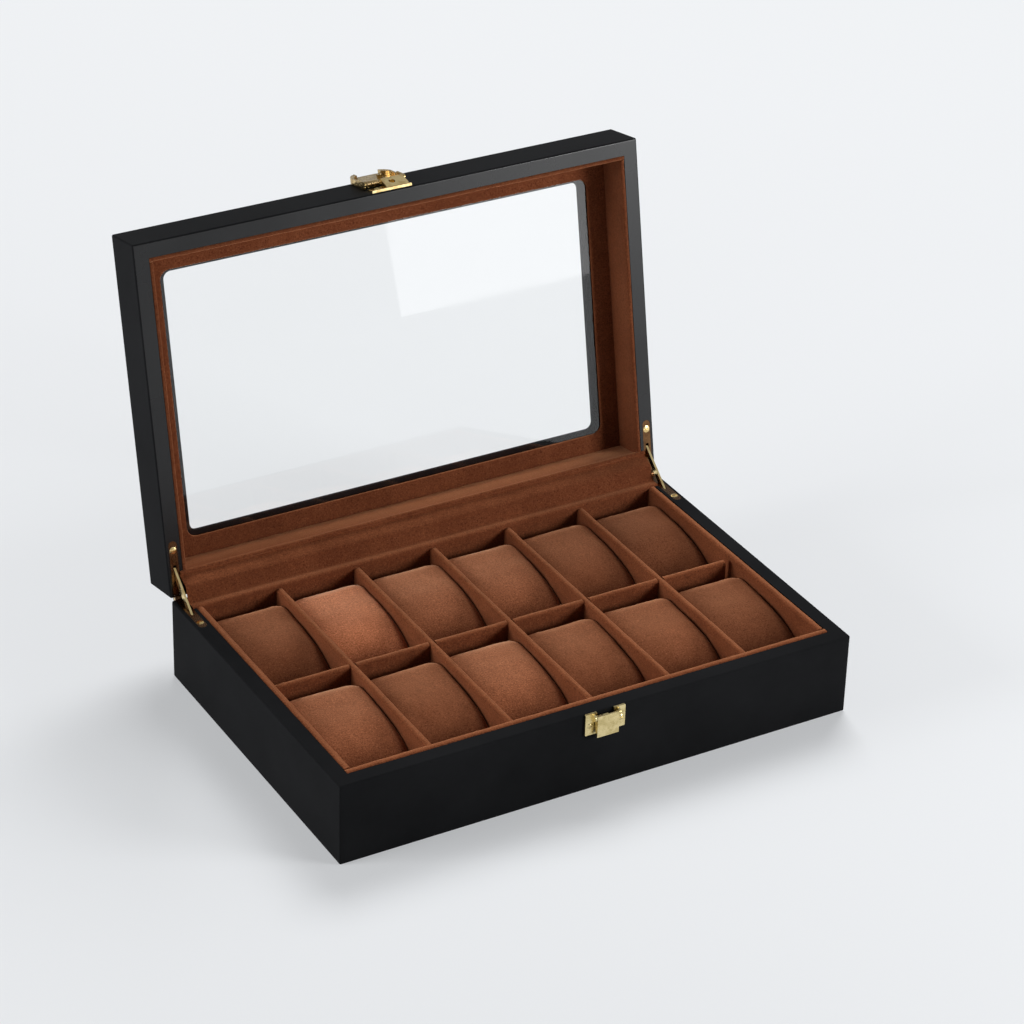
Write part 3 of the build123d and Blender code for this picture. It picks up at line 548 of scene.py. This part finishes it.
def tray():
    """The velvet over the tray floor, a little uneven between the dividers."""
    columns, rows = 75, 46
    points = []
    for level in (TRAY_Z, BOTTOM):
        for j in range(rows + 1):
            for i in range(columns + 1):
                x = -cell_x + 2 * cell_x * i / columns
                y = -cell_y + 2 * cell_y * j / rows
                sink = 0.12 + 0.12 * noise.noise(Vector((x, y, 3.0)) * 0.08) if level == TRAY_Z else 0.0
                points.append((x, y, level - sink))
    count = (columns + 1) * (rows + 1)
    faces = []
    for j in range(rows):
        for i in range(columns):
            a = j * (columns + 1) + i
            quad = (a, a + 1, a + columns + 2, a + columns + 1)
            faces.append(quad)
            faces.append(tuple(count + k for k in reversed(quad)))
    rim = list(range(columns + 1))
    rim += [j * (columns + 1) + columns for j in range(1, rows + 1)]
    rim += [rows * (columns + 1) + i for i in range(columns - 1, -1, -1)]
    rim += [j * (columns + 1) for j in range(rows - 1, 0, -1)]
    for a, b in zip(rim, rim[1:] + rim[:1]):
        faces.append((b, a, count + a, count + b))
    mesh_object("tray_floor_velvet", points, faces, VELVET, "base", "lining_velvet", "tray_floor")


def rounded_loop(half_x, half_y, radius, z, corner_steps=8, side_steps=40):
    """Points round a rounded rectangle, always the same number and in the same order."""
    loop = []
    for sx, sy, start in ((1, -1, -90), (1, 1, 0), (-1, 1, 90), (-1, -1, 180)):
        for i in range(corner_steps + 1):
            a = math.radians(start + 90 * i / corner_steps)
            loop.append(Vector((
                sx * (half_x - radius) + radius * math.cos(a),
                sy * (half_y - radius) + radius * math.sin(a),
                z,
            )))
    dense = []
    for k, point in enumerate(loop):
        dense.append(point)
        if k % (corner_steps + 1) == corner_steps:
            after = loop[(k + 1) % len(loop)]
            dense += [point.lerp(after, i / side_steps) for i in range(1, side_steps)]
    return dense


def window_frame():
    """Velvet glued over the frame behind the glass, with a soft rolled edge round the window."""
    top, under = PANEL_Z - 0.05, PANEL_Z - INNER_FRAME
    outer_x, outer_y, corner = inner_x - GAP, inner_y - GAP, 0.4
    profile = [(0.0, top), (0.0, under + 0.75), (0.012, under + 0.35)]
    profile += [(0.04, under + 0.08), (0.09, under)]
    profile += [(share, under) for share in (0.2, 0.4, 0.6, 0.8, 1.0)] + [(1.0, top)]
    sections = []
    for share, z in profile:
        loop = rounded_loop(
            WINDOW_X + (outer_x - WINDOW_X) * share,
            WINDOW_Y + (outer_y - WINDOW_Y) * share,
            WINDOW_R + (corner - WINDOW_R) * share,
            z,
        )
        ring = []
        for p in loop:
            shift = wrinkle(p, 4.0, 0.06, 0.25)
            inside = 0.02 < share < 0.95
            ring.append(tuple(OPENED @ (p + Vector((0, 0, abs(shift.z) if inside else 0.0)))))
        sections.append(ring)
    count, rows = len(sections[0]), len(sections)
    points = [p for section in sections for p in section]
    faces = []
    for i in range(rows):
        for j in range(count):
            k = (j + 1) % count
            n = (i + 1) % rows
            faces.append((i * count + j, i * count + k, n * count + k, n * count + j))
    mesh_object(
        "window_frame_velvet", points, faces, VELVET, "lid", "lining_velvet", "lid_inner_frame",
        angle=35.0,
    )


def gusset():
    """Cloth over the rear joint: from the base's rear lining up to a soft ridge on the lid's."""
    def lid(y, z):
        p = OPENED @ Vector((0.0, y, z))
        return p.y, p.z

    path = [
        (89.55, 48.6), (89.75, 49.9), (90.6, 50.75), (92.2, 50.95), (94.4, 51.0), (95.8, 51.9),
        (97.1, 54.2), (98.3, 57.2), (99.4, 59.8), lid(91.6, 49.85), lid(90.0, 49.6),
        lid(88.7, 50.1), lid(88.4, 51.4), lid(89.1, 52.7), lid(89.6, 53.6),
    ]
    fine = []
    for i in range(len(path) - 1):
        before = Vector(path[max(0, i - 1)])
        a, b = Vector(path[i]), Vector(path[i + 1])
        after = Vector(path[min(len(path) - 1, i + 2)])
        for k in range(4):
            t = k / 4
            fine.append(0.5 * (
                2 * a + (b - before) * t + (2 * before - 5 * a + 4 * b - after) * t * t
                + (3 * a - before - 3 * b + after) * t ** 3
            ))
    fine.append(Vector(path[-1]))
    end = inner_x + 1.9
    across, thick, tucked = 110, 0.55, 5.0
    slack_from, slack_length = 0.38, 0.42  # the part of the path that may wave
    sections = []
    for i in range(across + 1):
        x = -end + 2 * end * i / across
        edge = min(1.0, (end - abs(x)) / tucked)
        ring, back = [], []
        for k, p in enumerate(fine):
            a, b = fine[max(0, k - 1)], fine[min(len(fine) - 1, k + 1)]
            along = (b - a).normalized()
            normal = Vector((-along.y, along.x))
            part = (k / (len(fine) - 1) - slack_from) / slack_length
            share = math.sin(math.pi * min(1.0, max(0.0, part)))
            wave = 0.55 * share * noise.noise(Vector((x * 0.045, k * 0.12, 7.0))) * edge
            q = p + normal * wave
            ring.append((x, q.x, q.y))
            q = q - normal * thick
            back.append((x, q.x, q.y))
        sections.append(ring + back[::-1])
    points, faces = rings(sections)
    obj = mesh_object(
        "gusset_velvet", points, faces, VELVET, None, "gusset_cloth", "hinge_gusset", angle=60.0,
    )
    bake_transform(obj)


tray()
window_frame()
gusset()

# ---------------------------------------------------------------- carried-over pieces

for node_name, obj in NODES.items():
    if node_name == "glass_pane":
        dress(obj, GLASS)
    elif node_name.endswith("_wall"):
        dress(obj, LACQUER)
        if node_name.startswith("lid"):
            polish_rim(obj, OPENED.to_3x3() @ Vector((0.0, 0.0, -1.0)))
    elif node_name in ("bottom_panel", "lid_top_frame"):
        dress(obj, LACQUER)
    elif "spring" in node_name:
        dress(obj, WIRE)
    elif node_name == "hasp":
        dress(obj, HAMMERED)
    elif node_name.endswith("_leaf"):
        dress(obj, LEAF)
    elif (
        node_name.endswith("_stay")
        or node_name in ("keeper_plate", "hasp_pin")
        or "hinge_" in node_name
    ):
        dress(obj, BRIGHT)
    elif not obj.hide_render:
        dress(obj, GOLD)

# ---------------------------------------------------------------- floor, light, camera


def floor():
    """The pale floor the box stands on, with a glow that only camera, metal and glass see."""
    s = Shade("pale_floor")
    cloud = s.noise(1.2, 2.0, 0.5)
    tint = s.ramp(cloud, [(0.3, (0.745, 0.760, 0.780)), (0.7, (0.770, 0.785, 0.805))])
    s.link(tint, s.bsdf.inputs["Base Color"])
    s.set(Roughness=0.85, Specular_IOR_Level=0.1)
    rays = s.node("ShaderNodeLightPath").outputs
    seen = s.math("MAXIMUM", rays["Is Camera Ray"], rays["Is Glossy Ray"])
    seen = s.math("MAXIMUM", seen, rays["Is Transmission Ray"])
    away = s.node("ShaderNodeVectorMath", operation="LENGTH")
    s.link(s.coord, away.inputs[0])
    near, far = 0.5, 1.35  # metres: the shadow shows near the box, and the lamps' pools not far from it
    share = s.span(away.outputs["Value"], 0.39, 0.98, near, far)
    backdrop = s.node("ShaderNodeEmission", Color=(0.872, 0.890, 0.910, 1.0), Strength=1.0)
    mix = s.node("ShaderNodeMixShader")
    s.link(s.math("MULTIPLY", seen, share), mix.inputs["Fac"])
    s.link(s.bsdf.outputs["BSDF"], mix.inputs[1])
    s.link(backdrop.outputs["Emission"], mix.inputs[2])
    s.link(mix.outputs["Shader"], s.out.inputs["Surface"])
    mesh = bpy.data.meshes.new("floor")
    reach = 6.0
    square = [(-reach, -reach, 0), (reach, -reach, 0), (reach, reach, 0), (-reach, reach, 0)]
    mesh.from_pydata(square, [], [(0, 1, 2, 3)])
    obj = bpy.data.objects.new("floor", mesh)
    bpy.context.scene.collection.objects.link(obj)
    dress(obj, s.mat)


def area_light(name, place, target, size, power):
    """A soft rectangular lamp that faces a target."""
    data = bpy.data.lights.new(name, "AREA")
    data.shape = "RECTANGLE"
    data.size, data.size_y = size
    data.energy = power
    obj = bpy.data.objects.new(name, data)
    obj.location = place
    obj.rotation_euler = (Vector(target) - Vector(place)).to_track_quat("-Z", "Y").to_euler()
    bpy.context.scene.collection.objects.link(obj)
    return obj


def world(level, colour, seen_level):
    """Even room light, with a paler room for the camera and for what metal and glass show."""
    made = bpy.data.worlds.new("studio")
    made.use_nodes = True
    tree = made.node_tree
    background = tree.nodes["Background"]
    background.inputs["Color"].default_value = (*colour, 1.0)
    rays = tree.nodes.new("ShaderNodeLightPath").outputs
    seen = rays["Is Camera Ray"]
    for kind in ("Is Glossy Ray", "Is Transmission Ray"):
        either = tree.nodes.new("ShaderNodeMath")
        either.operation = "MAXIMUM"
        tree.links.new(seen, either.inputs[0])
        tree.links.new(rays[kind], either.inputs[1])
        seen = either.outputs["Value"]
    strength = tree.nodes.new("ShaderNodeMapRange")
    strength.inputs["To Min"].default_value = level
    strength.inputs["To Max"].default_value = seen_level
    tree.links.new(seen, strength.inputs["Value"])
    tree.links.new(strength.outputs["Result"], background.inputs["Strength"])
    bpy.context.scene.world = made


def camera():
    """Camera at the fitted place, 3/4 from the front left."""
    azimuth, elevation, roll = -0.531124, 0.525872, 0.0287484
    centre_right, centre_up, distance = 2.488, 102.702, 1979.469
    back = Vector((
        math.sin(azimuth) * math.cos(elevation),
        -math.cos(azimuth) * math.cos(elevation),
        math.sin(elevation),
    ))
    right = Vector((math.cos(azimuth), math.sin(azimuth), 0.0))
    up = back.cross(right)
    right, up = (
        math.cos(roll) * right + math.sin(roll) * up,
        math.cos(roll) * up - math.sin(roll) * right,
    )
    place = (centre_right * right + centre_up * up + distance * back) * MM
    data = bpy.data.cameras.new("camera")
    data.sensor_width = 36.0
    data.lens = 3488.776 * 36.0 / 1024.0
    data.clip_start, data.clip_end = 0.05, 60.0
    obj = bpy.data.objects.new("camera", data)
    obj.matrix_world = Matrix((
        (right.x, up.x, back.x, place.x),
        (right.y, up.y, back.y, place.y),
        (right.z, up.z, back.z, place.z),
        (0.0, 0.0, 0.0, 1.0),
    ))
    bpy.context.scene.collection.objects.link(obj)
    bpy.context.scene.camera = obj


floor()
world(0.07, (0.96, 0.98, 1.0), 0.42)
area_light("front_right_softbox", (1.05, -1.05, 0.50), (0, 0, 0.08), (0.55, 0.45), 15.5)
area_light("left_softbox", (-1.90, 0.35, 0.66), (0, 0, 0.05), (0.8, 0.7), 27.0)
overhead = area_light("top_back_softbox", (1.15, 1.50, 2.35), (0, 0.05, 0.0), (1.6, 1.4), 72.0)
overhead.visible_glossy = False  # so that the window stays clear when the box is shut
# only reflections see this card: it gives the window's bright patch and the rim's light strips
reflector = area_light("low_card", (0.655, -0.70, 0.14), (0.655, 0.0, 0.14), (0.49, 0.20), 0.48)
reflector.visible_diffuse = False
camera()

scene = bpy.context.scene
scene.view_settings.view_transform = "Standard"
